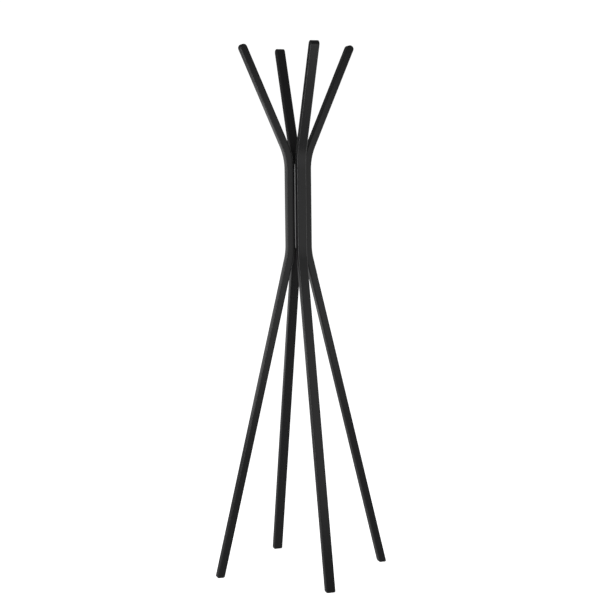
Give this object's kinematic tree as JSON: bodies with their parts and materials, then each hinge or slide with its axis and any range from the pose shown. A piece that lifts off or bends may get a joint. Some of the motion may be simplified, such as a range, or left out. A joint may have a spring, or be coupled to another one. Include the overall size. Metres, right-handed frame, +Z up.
{
  "type": "standing coat rack",
  "caption": "Free-standing coat rack: bent wooden posts round a square core, splaying out below as legs and above as arms for coats.",
  "frame": {"origin": "on the floor, on the rack's axis, midway between the four feet", "axes": "+Z up along the rack's axis; the front post leans towards -Y, the right post towards +X, the back post towards +Y and the left post towards -X"},
  "size_m": [0.5804, 0.5804, 1.7],
  "materials": {
    "black_lacquer": "satin black lacquer over close-grained wood",
    "beech": "bare beech dowel",
    "glide_plastic": "moulded, fine matt texture"
  },
  "bodies": {
    "root": {"core": "black_lacquer", "dowels_left_right": "beech", "dowels_front_back": "beech", "post_front": "black_lacquer", "post_right": "black_lacquer", "post_back": "black_lacquer", "post_left": "black_lacquer", "glide_front": "glide_plastic", "glide_right": "glide_plastic", "glide_back": "glide_plastic", "glide_left": "glide_plastic"}
  },
  "joints": []
}
